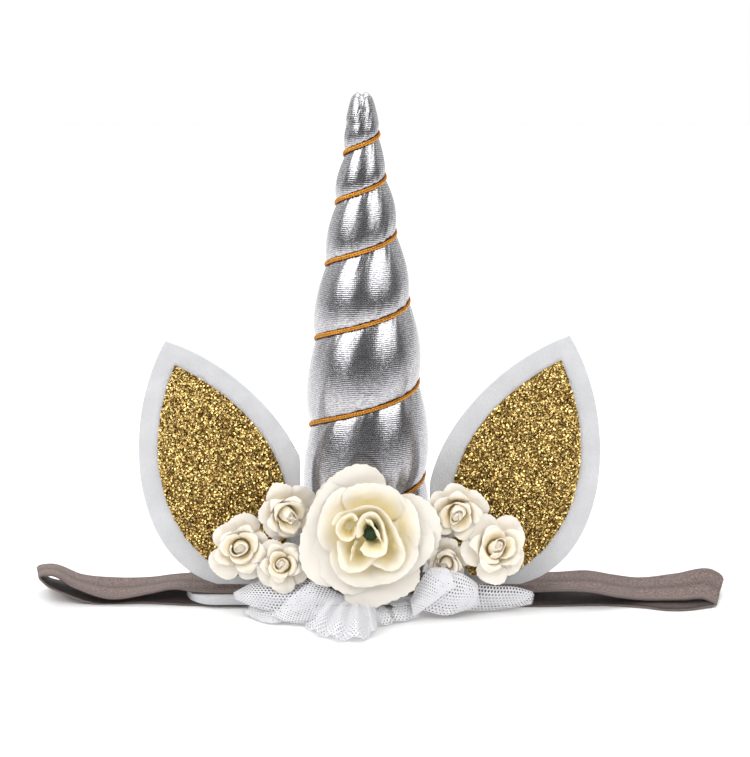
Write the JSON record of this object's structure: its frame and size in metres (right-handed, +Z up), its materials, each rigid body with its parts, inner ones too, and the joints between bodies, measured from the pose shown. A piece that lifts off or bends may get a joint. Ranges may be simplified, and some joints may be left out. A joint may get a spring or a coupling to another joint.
{
  "type": "unicorn horn headband",
  "caption": "Headband of elastic with a stuffed horn wound with cord, felt ears with glitter linings, artificial roses and a net ruffle on a felt pad.",
  "frame": {"origin": "on the table, on the underside of the elastic's lower run, below the front half of the horn", "axes": "+Z up, +X along the elastic to the right as seen from the front, front of the horn towards -Y"},
  "size_m": [0.2072, 0.0675, 0.1508],
  "materials": {
    "silver_cloth": "metallic woven cloth, satin",
    "gold_cord": "twisted metallic cord",
    "white_felt": "matt felt",
    "gold_glitter": "coarse glitter",
    "taupe_elastic": "knitted fold-over elastic",
    "ivory_silk": "matt woven petal cloth",
    "cream_paper": "matt mulberry paper",
    "leaf_green": "matt",
    "white_tulle": "fine net"
  },
  "bodies": {
    "root": {"elastic_band": "taupe_elastic", "base_pad": "white_felt", "horn": "silver_cloth", "horn_cord": "gold_cord", "ear_left": "white_felt", "ear_lining_left": "gold_glitter", "ear_right": "white_felt", "ear_lining_right": "gold_glitter", "rose_petals_outer": "ivory_silk", "rose_petals_second": "ivory_silk", "rose_petals_inner": "ivory_silk", "rose_bud": "ivory_silk", "rose_centre": "leaf_green", "rose_calyx": "leaf_green", "small_rose_left_1_petals": "cream_paper", "small_rose_left_1_cup": "cream_paper", "small_rose_left_1_bud": "cream_paper", "small_rose_left_1_calyx": "leaf_green", "small_rose_left_2_petals": "cream_paper", "small_rose_left_2_cup": "cream_paper", "small_rose_left_2_bud": "cream_paper", "small_rose_left_2_calyx": "leaf_green", "small_rose_left_3_petals": "cream_paper", "small_rose_left_3_cup": "cream_paper", "small_rose_left_3_bud": "cream_paper", "small_rose_left_3_calyx": "leaf_green", "small_rose_right_1_petals": "cream_paper", "small_rose_right_1_cup": "cream_paper", "small_rose_right_1_bud": "cream_paper", "small_rose_right_1_calyx": "leaf_green", "small_rose_right_2_petals": "cream_paper", "small_rose_right_2_cup": "cream_paper", "small_rose_right_2_bud": "cream_paper", "small_rose_right_2_calyx": "leaf_green", "small_rose_right_3_petals": "cream_paper", "small_rose_right_3_cup": "cream_paper", "small_rose_right_3_bud": "cream_paper", "small_rose_right_3_calyx": "leaf_green", "tulle_left": "white_tulle", "tulle_centre": "white_tulle", "tulle_tab": "white_tulle", "tulle_right": "white_tulle"}
  },
  "joints": []
}
